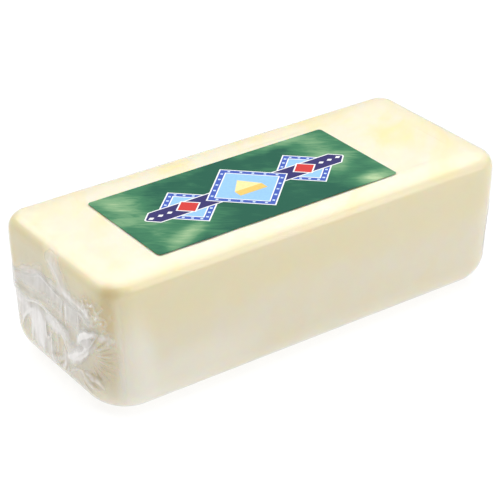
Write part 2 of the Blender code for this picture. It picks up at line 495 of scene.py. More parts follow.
@dataclass(frozen=True)
class WashFinish:
    """The label's ground: a green wash, dark in the middle and mottled with pale strokes."""

    centre: Place
    turn: float
    half_length: float
    deep: Colour = (0.010, 0.092, 0.055)
    mid: Colour = (0.042, 0.180, 0.088)
    light: Colour = (0.150, 0.310, 0.160)
    pale: Colour = (0.400, 0.530, 0.300)
    roughness: float = 0.48
    shine: float = 0.12
    strokes: tuple[Spot, ...] = (
        ((-0.072, 0.016), (0.026, 0.042), 0.2, 0.31),
        ((-0.058, -0.028), (0.032, 0.010), 0.5, 0.30),
        ((0.060, 0.010), (0.024, 0.050), -0.2, 0.21),
        ((0.070, -0.033), (0.026, 0.013), -0.2, 0.375),
        ((0.040, 0.036), (0.036, 0.010), 0.0, 0.31),
        ((-0.030, 0.036), (0.040, 0.008), 0.0, 0.125),
    )
    broad: Grain = Grain(0.030, 2.0, 0.5, 0.5)
    fine: Grain = Grain(0.0055, 5.0, 0.68, 1.0)
    fine_stretch: Colour = (1.5, 0.30, 1.0)
    fine_turn: float = 0.9
    fine_depth: float = 0.00002
    out_share: float = 0.26
    broad_share: float = 0.70
    fine_share: float = 0.46
    mid_span: Place = (0.62, 0.92)
    light_span: Place = (0.86, 1.08)
    pale_span: Place = (1.04, 1.28)

    def material(self) -> Material:
        """Builds the ground's material."""
        bench = NodeBench("label_wash")
        centre = (*self.centre, 0.0)
        place = bench.place(turn=self.turn, centre=centre)
        brushed = bench.place(self.fine_stretch, self.turn + self.fine_turn, centre)
        along = bench.add("SeparateXYZ", None, Vector=place).outputs["X"]
        out = bench.math("DIVIDE", bench.math("ABSOLUTE", along), self.half_length)
        fine = bench.noise(brushed, self.fine)
        tone = bench.math("MULTIPLY", out, self.out_share)
        for grain, share in ((bench.noise(place, self.broad), self.broad_share), (fine, self.fine_share)):
            tone = bench.math("ADD", tone, bench.math("MULTIPLY", grain, share))
        tone = bench.spots(tone, place, self.strokes)
        colour = self.deep
        for span, lighter in ((self.mid_span, self.mid), (self.light_span, self.light),
                              (self.pale_span, self.pale)):
            colour = bench.mix(bench.span(tone, *span), colour, lighter)
        shader = bench.add(
            "BsdfPrincipled", None, Base_Color=colour, Roughness=self.roughness,
            Specular_IOR_Level=self.shine, Normal=bench.bump(fine, self.fine_depth),
        )
        return bench.finish(shader)


class Ink(Enum):
    """The printed colours."""

    WHITE = (0.83, 0.84, 0.83)
    NAVY = (0.024, 0.020, 0.125)
    BLUE = (0.045, 0.095, 0.420)
    SKY = (0.270, 0.500, 0.800)
    MIST = (0.520, 0.650, 0.840)
    RED = (0.560, 0.035, 0.030)
    CREAM = (0.830, 0.700, 0.330)
    STRAW = (0.720, 0.500, 0.130)


@dataclass(frozen=True)
class InkFinish:
    """A printed colour with the faint mottling of ink on film."""

    ink: Ink
    roughness: float = 0.45
    shine: float = 0.18
    mottle: Grain = Grain(0.0016, 3.0, 0.7)
    mottle_span: Place = (0.35, 0.65)
    darkest: float = 0.93

    def material(self) -> Material:
        """Builds the ink's material, or finds it if it is there already."""
        name = "ink_" + self.ink.name.lower()
        if name in bpy.data.materials:
            return bpy.data.materials[name]
        bench = NodeBench(name)
        mottle = bench.span(bench.noise(bench.place(), self.mottle), *self.mottle_span)
        darker = tuple(channel * self.darkest for channel in self.ink.value)
        colour = bench.mix(mottle, darker, self.ink.value)
        shader = bench.add("BsdfPrincipled", None, Base_Color=colour, Roughness=self.roughness,
                           Specular_IOR_Level=self.shine)
        return bench.finish(shader)


@dataclass(frozen=True)
class FloorFinish:
    """A plain white studio floor."""

    grey: float = 0.28
    glow: float = 0.78
    roughness: float = 0.9

    def material(self) -> Material:
        """Builds the floor's material."""
        bench = NodeBench("floor")
        shader = bench.add(
            "BsdfPrincipled", None, Base_Color=(*[self.grey] * 3, 1.0), Roughness=self.roughness,
            Specular_IOR_Level=0.0, Emission_Color=(1.0, 1.0, 1.0, 1.0), Emission_Strength=self.glow,
        )
        return bench.finish(shader)


# The block's form


@dataclass(frozen=True)
class Weave:
    """How finely a skin is divided: columns round each part of the girth, and rings up it."""

    near_corner: int
    far_corner: int
    near_end: int
    far_end: int
    long_side: int
    base_edge: int
    wall: int
    top_edge: int
    shoulder: int

    def columns(self) -> tuple[Array, Array]:
        """Lays out the columns anticlockwise from the far back corner, and closes the round.

        Returns:
            Each column's part of the girth, even for a corner and odd for a side, and its share
            of the way along that part.
        """
        steps = (self.far_corner, self.long_side, self.near_corner, self.near_end,
                 self.near_corner, self.long_side, self.far_corner, self.far_end)
        parts = np.concatenate([np.full(count, part) for part, count in enumerate(steps)])
        shares = np.concatenate([np.arange(count) / count for count in steps])
        return np.append(parts, 0), np.append(shares, 0.0)


@dataclass
class Skin:
    """The points of a skin round the block, in rings of columns, with what is known of each."""

    points: Array
    normals: Array
    girth: Array
    climb: Array

    def model(self, name: str, lift: Array, paints: dict[str, Array]) -> Piece:
        """Rolls a grid up into the skin, moves it along its normals, and closes its top and base.

        Args:
            name: The piece's name.
            lift: How far each point goes out along its normal, or in if it is negative.
            paints: Numbers to paint on the points, by attribute name.

        Returns:
            The piece, a closed mesh with its normals outwards.
        """
        rings, columns = self.girth.shape
        bpy.ops.mesh.primitive_grid_add(x_subdivisions=columns - 1, y_subdivisions=rings - 1, size=1.0)
        piece = added(name)
        flat = get_places(piece.data)
        column = np.rint((flat[:, 0] + 0.5) * (columns - 1)).astype(int)
        ring = np.rint((flat[:, 1] + 0.5) * (rings - 1)).astype(int)
        places = self.points + self.normals * lift[..., None]
        set_places(piece.data, places[ring, column])
        paint(piece, {key: values[ring, column] for key, values in paints.items()})
        with editing():
            bpy.ops.mesh.remove_doubles(threshold=WELD)
            bpy.ops.mesh.fill_holes(sides=0)
            bpy.ops.mesh.select_all(action="SELECT")
            bpy.ops.mesh.normals_make_consistent(inside=False)
        bpy.ops.object.shade_smooth_by_angle(angle=math.radians(50))
        return piece


@dataclass(frozen=True)
class BlockForm:
    """The wrapped block's outer form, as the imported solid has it."""

    length: float = 0.280
    width: float = 0.1165
    height: float = 0.0865
    top_edge: float = 0.0088
    base_edge: float = 0.0190
    shoulder_width: float = 0.0110
    shoulder_drop: float = 0.0007
    top_corners: tuple[float, ...] = (0.0125, 0.0150, 0.0185, 0.0175)
    base_corners: tuple[float, ...] = (0.0200, 0.0240, 0.0265, 0.0245)
    side_bow: float = 0.0005
    point_radius: float = 0.0002

    @property
    def wall_top(self) -> float:
        """The height at which the upright wall turns into the top edge."""
        return self.height - self.shoulder_drop - self.top_edge

    def corner_radii(self, height: Array) -> Array:
        """The plan radii of the upright corners at each height, one row each."""
        share = smooth_step(0.0, self.height, height)[..., None]
        base, top = np.array(self.base_corners), np.array(self.top_corners)
        return base + (top - base) * share

    def rings(self, weave: Weave) -> Array:
        """Lays out the rings from the base to the top's flat field.

        Args:
            weave: How many rings each stretch has.

        Returns:
            Each ring's inset, height, climb and the tilt of its normal, one row each.
        """
        rows = []
        for step in range(weave.base_edge + 1):
            turn = math.pi / 2 * step / weave.base_edge
            climb = self.base_edge * (1.0 - math.pi / 2 + turn)
            inset = self.base_edge * (1.0 - math.sin(turn))
            rows.append((inset, self.base_edge * (1.0 - math.cos(turn)), climb, turn - math.pi / 2))
        for step in range(1, weave.wall):
            height = self.base_edge + (self.wall_top - self.base_edge) * step / weave.wall
            rows.append((0.0, height, height, 0.0))
        for step in range(weave.top_edge + 1):
            turn = math.pi / 2 * step / weave.top_edge
            inset = self.top_edge * (1.0 - math.cos(turn))
            height = self.wall_top + self.top_edge * math.sin(turn)
            rows.append((inset, height, self.wall_top + self.top_edge * turn, turn))
        for step in range(1, weave.shoulder + 1):
            share = step / weave.shoulder
            inset = self.top_edge + self.shoulder_width * share
            height = self.height - self.shoulder_drop * (1.0 - share) ** 2
            climb = self.wall_top + self.top_edge * math.pi / 2 + self.shoulder_width * share
            rows.append((inset, height, climb, math.pi / 2))
        return np.array(rows)

    def outline(self, inset: Array, height: Array, weave: Weave) -> tuple[Array, Array, Array]:
        """Draws the block's outline in plan for each ring.

        Args:
            inset: How far each ring is pulled in.
            height: Each ring's height.
            weave: How the girth is divided.

        Returns:
            The points' places along and across, and the angle that each column faces.
        """
        parts, shares = weave.columns()
        inset = inset[:, None]
        reach = np.maximum(self.corner_radii(height) - inset, self.point_radius)
        sides = np.array(((1, 1), (-1, 1), (-1, -1), (1, -1)), float)
        middle_x = sides[:, 0] * (self.length / 2 - inset - reach)
        middle_y = sides[:, 1] * (self.width / 2 - inset - reach)
        corner = parts // 2
        following = (corner + 1) % 4
        on_corner = parts % 2 == 0
        angle = math.pi / 2 * (corner + np.where(on_corner, shares, 1.0))
        along = np.where(on_corner, 0.0, shares)
        start_x = middle_x[:, corner] + reach[:, corner] * np.cos(angle)
        start_y = middle_y[:, corner] + reach[:, corner] * np.sin(angle)
        stop_x = middle_x[:, following] + reach[:, following] * np.cos(angle)
        stop_y = middle_y[:, following] + reach[:, following] * np.sin(angle)
        return start_x + (stop_x - start_x) * along, start_y + (stop_y - start_y) * along, angle

    def lay_out(self, weave: Weave) -> Skin:
        """Works out where each point of a skin lies.

        Args:
            weave: How finely the skin is divided.

        Returns:
            The skin.
        """
        inset, height, climb, tilt = self.rings(weave).T
        x, y, angle = self.outline(inset, height, weave)
        wall_x, wall_y, _ = self.outline(0.0 * inset, height, weave)
        z, climb, tilt = (np.broadcast_to(row[:, None], x.shape) for row in (height, climb, tilt))
        bow = 1.0 - np.clip(2.0 * x / self.length, -1.0, 1.0) ** 2
        bow = bow * np.sin(math.pi * np.clip(z / self.height, 0.0, 1.0))
        points = np.stack((x, y - np.sign(y) * self.side_bow * bow, z), -1)
        normals = np.stack((np.cos(tilt) * np.cos(angle), np.cos(tilt) * np.sin(angle), np.sin(tilt)), -1)
        return Skin(points, normals, self.girth(wall_x, wall_y, z), climb)

    def end_corners(self, near: Array | bool, height: Array) -> tuple[Array, Array]:
        """The radii of the corners to the left and the right of an end, seen from outside."""
        radii = self.corner_radii(height)
        left = np.where(near, radii[..., 1], radii[..., 3])
        right = np.where(near, radii[..., 2], radii[..., 0])
        return left, right

    def girth(self, x: Array, y: Array, height: Array) -> Array:
        """The way round to points of the wall from the middle of the nearer end.

        Args:
            x: The points' places along the length.
            y: Their places across the width.
            height: Their heights.

        Returns:
            Each point's girth, to the right as seen from outside that end.
        """
        near = x < 0.0
        across = np.where(near, -y, y)
        left, right = self.end_corners(near, height)
        radius = np.where(across > 0.0, right, left)
        flat = self.width / 2 - radius
        run = np.maximum(np.abs(across) - flat, 0.0)
        back = self.length / 2 - np.abs(x)
        turned = np.arctan2(run, np.maximum(radius - back, 0.0))
        beyond = np.maximum(back - radius, 0.0)
        return np.sign(across) * (np.minimum(np.abs(across), flat) + radius * turned + beyond)

    def on_wall(self, end: End, girth: Array, height: Array) -> tuple[Array, Array]:
        """Finds places on the upright wall near an end.

        Args:
            end: The end.
            girth: The places' girths.
            height: Their heights.

        Returns:
            The places and the wall's outward normals there.
        """
        left, right = self.end_corners(end is End.NEAR, height)
        radius = np.where(girth > 0.0, right, left)
        flat = self.width / 2 - radius
        turned = np.maximum(np.abs(girth) - flat, 0.0) / radius
        side = np.sign(girth) * end.value
        x = end.value * (self.length / 2 - radius * (1.0 - np.cos(turned)))
        y = side * (np.minimum(np.abs(girth), flat) + radius * np.sin(turned))
        normals = np.stack((end.value * np.cos(turned), side * np.sin(turned), 0.0 * girth), -1)
        return np.stack((x, y, height), -1), normals


# Wrinkles. Their places and sizes are girths and climbs in millimetres.


@dataclass(frozen=True)
class Fold:
    """A ridge of film along a route. It is steeper to the right of the way that the route runs."""

    route: tuple[Place, ...]
    half_width: float
    rise: float
    haze: float = 0.0
    steepness: float = 1.0
    fade: float = 0.25

    def press(self, girth: Array, climb: Array) -> tuple[Array, Array]:
        """Works out how the fold lifts and clouds the film.

        Args:
            girth: The points' girths.
            climb: Their climbs.

        Returns:
            The rise and the haze at each point.
        """
        route = smooth_route(self.route, 6)
        low, high = route.min(0) - self.half_width, route.max(0) + self.half_width
        inside = (girth > low[0]) & (girth < high[0]) & (climb > low[1]) & (climb < high[1])
        s, c = girth[inside], climb[inside]
        offset, side, along = np.full(s.shape, np.inf), np.zeros(s.shape), np.zeros(s.shape)
        for index, (start, stop) in enumerate(zip(route, route[1:])):
            run = stop - start
            share = np.clip(((s - start[0]) * run[0] + (c - start[1]) * run[1]) / (run @ run), 0.0, 1.0)
            gap_s, gap_c = s - start[0] - share * run[0], c - start[1] - share * run[1]
            distance = np.hypot(gap_s, gap_c)
            closer = distance < offset
            offset = np.where(closer, distance, offset)
            side = np.where(closer, run[0] * gap_c - run[1] * gap_s, side)
            along = np.where(closer, (index + share) / (len(route) - 1), along)
        width = np.where(side < 0.0, self.half_width / self.steepness, self.half_width)
        closeness = np.clip(1.0 - offset / width, 0.0, 1.0)
        ends = smooth_step(0.0, self.fade, np.minimum(along, 1.0 - along))
        shape = closeness * closeness * (3.0 - 2.0 * closeness) * ends
        rise, haze = np.zeros(girth.shape), np.zeros(girth.shape)
        rise[inside], haze[inside] = self.rise * shape, self.haze * shape
        return rise, haze


@dataclass(frozen=True)
class Gather:
    """Pleats that run out from a point where the film was drawn together."""

    centre: Place
    count: int
    rise: float
    start: float
    peak: float
    end: float
    first_angle: float = -180.0
    last_angle: float = 180.0
    wander: float = 1.6
    haze: float = 0.0
    # How strong the painted shade between the pleats is.
    furrow_shade: float = 0.0
    edge: float = 12.0

    def pleats(self, girth: Array, climb: Array) -> tuple[Array, Array]:
        """Works out where the pleats are.

        Args:
            girth: The points' girths.
            climb: Their climbs.

        Returns:
            How far each point is up a pleat, from 0 to 1, and how strong the pleats are there.
        """
        run, up = girth - self.centre[0], climb - self.centre[1]
        distance, angle = np.hypot(run, up), np.arctan2(up, run)
        strength = smooth_step(self.start, self.peak, distance)
        strength *= 1.0 - smooth_step(self.peak, self.end, distance)
        turn = np.degrees(angle)
        strength *= smooth_step(self.first_angle - self.edge, self.first_angle + self.edge, turn)
        strength *= 1.0 - smooth_step(self.last_angle - self.edge, self.last_angle + self.edge, turn)
        swing = self.wander * np.sin(3.0 * angle)
        return 0.5 + 0.5 * np.cos(self.count * angle + swing), strength

    def press(self, girth: Array, climb: Array) -> tuple[Array, Array]:
        """Works out how the pleats lift and cloud the film.

        Args:
            girth: The points' girths.
            climb: Their climbs.

        Returns:
            The rise and the haze at each point.
        """
        up, strength = self.pleats(girth, climb)
        pleat = up ** 2 * strength
        return self.rise * pleat, self.haze * pleat

    def shade(self, girth: Array, climb: Array) -> Array:
        """How much painted shade each point gets that lies between two pleats."""
        up, strength = self.pleats(girth, climb)
        return self.furrow_shade * (1.0 - up) ** 3 * strength


@dataclass(frozen=True)
class Patch:
    """A soft oval area of some quality."""

    centre: Place
    reach: Place
    strength: float
    turn: float = 0.0

    def cover(self, girth: Array, climb: Array) -> Array:
        """The quality's strength at each point."""
        cosine, sine = math.cos(math.radians(self.turn)), math.sin(math.radians(self.turn))
        run, up = girth - self.centre[0], climb - self.centre[1]
        across = (run * cosine + up * sine) / self.reach[0]
        rise = (up * cosine - run * sine) / self.reach[1]
        return self.strength * (1.0 - smooth_step(PATCH_CORE, PATCH_EDGE, np.hypot(across, rise)))


FOLDS = (
    # The broad sweep from the top edge, and the creases along the tail's fold.
    Fold(((-16, 87), (-6, 82), (4, 79), (10, 75), (14, 69.5), (18, 65.5)), 9.0, 0.55, 0.26, 1.0, 0.5),
    Fold(((-6, 80), (2, 77), (8, 72), (12, 67), (16, 64.5)), 1.8, 0.22, 0.20),
    Fold(((6, 71), (15, 67.0), (26, 66.5), (36, 65), (42, 62), (45, 55)), 4.4, 0.42, 0.18),
    Fold(((12, 66), (22, 65.2), (34, 64), (41, 61), (44.5, 55)), 1.4, 0.20, 0.16),
    Fold(((15, 62), (26, 61.5), (36, 59), (41, 55)), 1.4, 0.22, 0.24),
    Fold(((-42, 57), (-32, 60), (-22, 63.5), (-12, 68.5), (-4, 67)), 6.0, 0.40, 0.25),
    Fold(((-20, 61), (-12, 64.5), (-4, 63), (6, 61), (14, 60)), 1.4, 0.20, 0.22),
    # The faint milky line down the upright corner, partly a painted highlight along its rounding.
    Fold(((57.0, 4), (58.0, 40), (58.5, 84)), 3.2, 0.05, 0.20),
    # The clear lens in the tail's band, and the crease beside it.
    Fold(((12.0, 44), (11.5, 53), (12.4, 61)), 1.2, 0.34, 0.28, 1.8),
    Fold(((15.8, 44), (16.2, 53), (15.0, 61)), 1.4, 0.34, 0.28, 0.6),
    Fold(((28.5, 47), (29.5, 54), (28, 60)), 1.4, 0.35, 0.35),
    # The two white lobes that rise from the tail's lowest point.
    Fold(((14, 24), (17, 27), (22, 29), (30, 34), (36, 39), (37.5, 45)), 2.6, 1.20, 1.0),
    Fold(((29, 39), (31, 46), (36, 50), (42, 53), (45.5, 56)), 2.6, 1.00, 1.0),
    # The drapes below the hem.
    Fold(((-39, 13), (-35, 26), (-27, 35), (-22, 38)), 1.4, 0.40, 0.55),
    Fold(((-9.5, 38), (-9.2, 31), (-9.5, 24)), 1.0, 0.30, 0.50),
    Fold(((-9.5, 25), (-4, 29.5), (1.5, 36.5)), 1.2, 0.26, 0.34),
    Fold(((-23.0, 40), (-24, 30), (-26.5, 12)), 1.6, 0.45, 0.70),
    Fold(((-15.5, 41), (-14.5, 30), (-13, 14)), 3.0, 0.45, 0.70),
    Fold(((-3.0, 36), (-3.5, 28), (-4, 12)), 1.0, 0.30, 0.50),
    Fold(((4.5, 35), (4, 27), (3, 14)), 1.0, 0.28, 0.36),
    Fold(((11, 33), (12, 24), (11, 13)), 1.6, 0.30, 0.28),
    # The creases at the foot, to the right.
    Fold(((13, 13), (20, 19.5), (27, 23), (38, 24.5)), 1.8, 0.50, 0.34),
    Fold(((33, 20), (40, 22.5), (45.5, 21), (49, 14)), 2.0, 0.45, 0.30),
    Fold(((30, 28), (32, 21), (38, 17.5), (47, 17)), 1.2, 0.36, 0.24),
    # Pleats towards the upright corner.
    Fold(((42, 43), (49, 46.0), (56.5, 48.5)), 1.3, 0.55, 0.30, 1.6),
    Fold(((42, 40), (49, 40.5), (57, 41)), 1.1, 0.50, 0.28, 1.6),
    Fold(((41, 38.5), (48, 36), (57, 33)), 1.2, 0.55, 0.28, 1.6),
    Fold(((40, 36), (45, 31.5), (50, 26)), 1.2, 0.55, 0.28, 1.6),
    # Little bright crumples.
    Fold(((44.5, 63), (46.5, 65.5)), 1.0, 0.80, 0.85),
    Fold(((41.5, 71), (44, 72)), 0.9, 0.60, 0.6),
    Fold(((48, 61.5), (49.5, 63)), 0.8, 0.60, 0.6),
    Fold(((-4.5, 45), (-2.5, 46.5)), 0.9, 0.70, 0.9),
)

GATHERS = (
    Gather((20.0, 29.0), 19, 0.25, 8.0, 18.0, 34.0, -158.0, 3.0, haze=0.10, furrow_shade=0.90),
    Gather((38.0, 38.5), 26, 0.30, 4.0, 11.0, 24.0, -80.0, 60.0, 2.2, 0.08, 1.0),
)

HAZES = (
    Patch((0.0, 45.0), (56.0, 44.0), 0.20),
    Patch((-22.0, 57.5), (28.0, 7.5), 0.50, 17.0),
    Patch((12.0, 61.5), (36.0, 6.5), 0.50, -1.0),
    Patch((7.0, 74.5), (21.0, 7.5), 0.26, -38.0),
    Patch((28.0, 64.5), (21.0, 5.5), 0.20, -6.0),
    Patch((2.0, 55.0), (38.0, 6.0), 0.30),
    Patch((-40.0, 39.0), (10.0, 5.0), 0.80),
    Patch((22.5, 54.0), (8.0, 9.0), 0.48),
    Patch((-33.0, 33.0), (14.0, 12.0), 0.75),
    Patch((-17.0, 29.0), (11.0, 21.0), 0.90),
    Patch((2.0, 40.5), (17.0, 7.0), 0.85, -6.0),
    Patch((-4.0, 19.0), (6.0, 12.0), 0.60),
    Patch((10.0, 20.0), (6.0, 11.0), 0.45),
    Patch((25.0, 31.0), (15.0, 5.0), 0.90, 38.0),
    Patch((36.0, 46.0), (8.0, 9.0), 0.70, 30.0),
    Patch((-50.0, 30.0), (10.0, 18.0), 0.75),
    Patch((50.0, 52.0), (6.5, 4.2), 0.50),
    Patch((40.0, 22.0), (12.0, 8.0), 0.25),
)

CLEARINGS = (
    Patch((-31.0, 22.0), (5.5, 11.0), 0.85, -14.0),
    Patch((-5.0, 32.0), (4.6, 4.2), 0.85, 20.0),
    Patch((7.0, 28.0), (5.0, 9.0), 0.60),
    Patch((-31.0, 48.5), (12.0, 4.2), 0.70),
    Patch((13.6, 52.5), (1.2, 8.0), 0.80),
    Patch((8.0, 47.0), (26.0, 4.0), 0.75, -3.0),
    Patch((23.0, 41.0), (6.0, 5.0), 0.80, 30.0),
)

CRUMPLES = (
    Patch((41.0, 68.0), (12.0, 9.0), 1.0),
    Patch((51.0, 62.0), (6.0, 18.0), 0.55),
    Patch((49.0, 38.0), (9.0, 18.0), 0.22),
    Patch((24.0, 32.0), (18.0, 8.0), 0.30, 35.0),
    Patch((-22.0, 36.0), (32.0, 20.0), 0.10),
    Patch((20.0, 20.0), (36.0, 12.0), 0.20),
)


@dataclass
class Wrinkles:
    """The folds, pleats, crinkles and milky places of the film at one end."""

    folds: tuple[Fold, ...] = FOLDS
    gathers: tuple[Gather, ...] = GATHERS
    hazes: tuple[Patch, ...] = HAZES
    clearings: tuple[Patch, ...] = CLEARINGS
    crumples: tuple[Patch, ...] = CRUMPLES
    crinkle_sizes: Place = (4.2, 2.0)
    crinkle_rises: Place = (0.34, 0.16)
    crest_sharpness: float = 2.2
    # How much whiter the crinkle crests get: partly milky film, partly a painted glint.
    crest_haze_and_glint: float = 1.3
    unevenness: float = 0.45
    unevenness_size: float = 7.0
    softness: float = 0.55
    streak: Colour = (4.0, 18.0, 1.0)
    streak_strength: float = 0.22
    streak_seed: float = 5.0
    seed: float = 3.0

    def press(self, girth: Array, climb: Array) -> tuple[Array, Array, Array, Array]:
        """Works out the relief and the paints of the film.

        Args:
            girth: The points' girths, in metres.
            climb: Their climbs, in metres.

        Returns:
            How far each point rises, in metres, its haze, how crumpled it is and its painted shade.
        """
        s, c = girth / MM, climb / MM
        places = np.stack((s, c, 0.0 * s), -1).reshape(-1, 3)
        uneven = cloudiness(places, self.unevenness_size, self.seed).reshape(s.shape)
        rise, haze = np.zeros(s.shape), np.zeros(s.shape)
        for wrinkle in (*self.folds, *self.gathers):
            more_rise, more_haze = wrinkle.press(s, c)
            rise += self.softness * more_rise * (1.0 + self.unevenness * uneven)
            haze += more_haze
        crumple = self.total(self.crumples, s, c)
        crests = self.crinkles(places, crumple)
        rise += crests
        # The crests are whitened: partly milky film, partly a painted glint.
        haze += self.crest_haze_and_glint * crests
        streaks = cloudiness(places / self.streak, 1.0, self.seed + self.streak_seed).reshape(s.shape)
        cloud = self.total(self.hazes, s, c) * (1.0 - self.total(self.clearings, s, c))
        haze += cloud * (1.0 + self.streak_strength * streaks)
        # Painted shade in the troughs between the pleats.
        shade = sum(gather.shade(s, c) for gather in self.gathers)
        return rise * MM, *(np.clip(paints, 0.0, 1.0) for paints in (haze, crumple, shade))

    def crinkles(self, places: Array, crumple: Array) -> Array:
        """Adds sharp little crests where the film is crumpled."""
        rise = np.zeros(crumple.shape)
        for size, height in zip(self.crinkle_sizes, self.crinkle_rises):
            cloud = np.abs(cloudiness(places, size, self.seed + size)).reshape(crumple.shape)
            rise += height * np.clip(1.0 - self.crest_sharpness * cloud, 0.0, 1.0) ** 2
        return rise * crumple

    @staticmethod
    def total(patches: tuple[Patch, ...], girth: Array, climb: Array) -> Array:
        """Joins patches so that overlaps don't add up past the full strength."""
        left = np.ones(girth.shape)
        for patch in patches:
            left = left * (1.0 - patch.cover(girth, climb))
        return 1.0 - left


# The pieces


@dataclass
class Cheddar:
    """The cheese inside the film, a rounded block that is soft at its edges and a little uneven."""

    form: BlockForm
    finish: CheddarFinish = field(default_factory=CheddarFinish)
    weave: Weave = Weave(14, 12, 44, 36, 80, 9, 26, 6, 3)
    clearance: float = 0.00045
    unevenness: float = 0.00030
    swell: float = 0.022
    swell_seed: float = 1.5
    tans: tuple[Patch, ...] = (
        Patch((52.0, 69.0), (5.5, 22.0), 0.60),
        Patch((55.0, 81.0), (7.0, 5.5), 0.5),
        Patch((52.0, 36.0), (6.0, 26.0), 0.26),
        Patch((38.0, 26.0), (16.0, 14.0), 0.18),
        Patch((39.0, 71.0), (9.0, 7.0), 0.70),
        Patch((8.0, 26.0), (9.0, 12.0), 0.10),
        Patch((-31.0, 47.0), (13.0, 8.0), 0.14),
        Patch((-16.0, 75.0), (44.0, 13.0), 0.11),
        Patch((-32.0, 20.0), (8.0, 12.0), 0.06),
    )
    # Where the front is painted paler: partly the film's haze, partly painted sheen and highlight.
    haze_and_sheen_patches: tuple[Patch, ...] = (
        Patch((67.5, 28.0), (15.0, 44.0), 0.80),
        Patch((96.0, 18.0), (60.0, 20.0), 0.60, 8.0),
    )
    # A more yellow band along the upper wall under the top edge, fading downwards.
    upper_band: Patch = Patch((0.0, 80.0), (900.0, 9.0), 0.36)
    upper_band_fade: Patch = Patch((0.0, 70.0), (900.0, 26.0), 0.38)

    def build(self) -> Piece:
        """Models the cheese and dresses it."""
        skin = self.form.lay_out(self.weave)
        waves = cloudiness(skin.points.reshape(-1, 3), self.swell, self.swell_seed)
        lift = self.unevenness * waves.reshape(skin.girth.shape) - self.clearance
        s, c = skin.girth / MM, skin.climb / MM
        near = skin.points[..., 0] < 0.0
        piece = skin.model("cheddar_body", lift, {
            "tan": Wrinkles.total(self.tans, s, c) * near,
            "ripe": np.maximum(self.upper_band.cover(s, c), self.upper_band_fade.cover(s, c)),
            "haze_and_sheen": Wrinkles.total(self.haze_and_sheen_patches, s, c) * near,
        })
        piece.data.materials.append(self.finish.material())
        return piece


@dataclass
class FilmWrap:
    """The clear film round the block, tight on the sides and wrinkled at the ends."""

    form: BlockForm
    near: Wrinkles
    far: Wrinkles
    finish: FilmFinish
    weave: Weave = Weave(50, 30, 124, 84, 44, 34, 96, 16, 6)
    calm_from: float = 0.058
    calm_at: float = 0.074
    edge_from: float = 0.082
    edge_calm: float = 0.091
    foot: float = 0.0004
    foot_clear: float = 0.0030
    under_tail: Patch = Patch((-2.0, 53.0), (46.0, 11.0), 0.85, 2.0)

    def build(self) -> Piece:
        """Models the film and dresses it."""
        skin = self.form.lay_out(self.weave)
        near = skin.points[..., 0] < 0.0
        relief, haze, crumple, shade = (np.zeros(skin.girth.shape) for _ in range(4))
        for wrinkles, here in ((self.near, near), (self.far, ~near)):
            pressed = wrinkles.press(skin.girth[here], skin.climb[here])
            relief[here], haze[here], crumple[here], shade[here] = pressed
        s, c = skin.girth / MM, skin.climb / MM
        calm = smooth_step(self.calm_from, self.calm_at, np.abs(skin.girth))
        haze *= (1.0 - self.under_tail.cover(s, c)) * (1.0 - calm)
        shade *= 1.0 - calm
        calm = np.maximum(calm, smooth_step(self.edge_from, self.edge_calm, skin.climb))
        crumple *= 1.0 - calm
        keep = (1.0 - calm) * smooth_step(self.foot, self.foot_clear, skin.points[..., 2])
        paints = {"haze": haze, "crumple": crumple, "shade": shade}
        piece = skin.model("clear_film", relief * keep, paints)
        piece.data.materials.append(self.finish.material())
        return piece


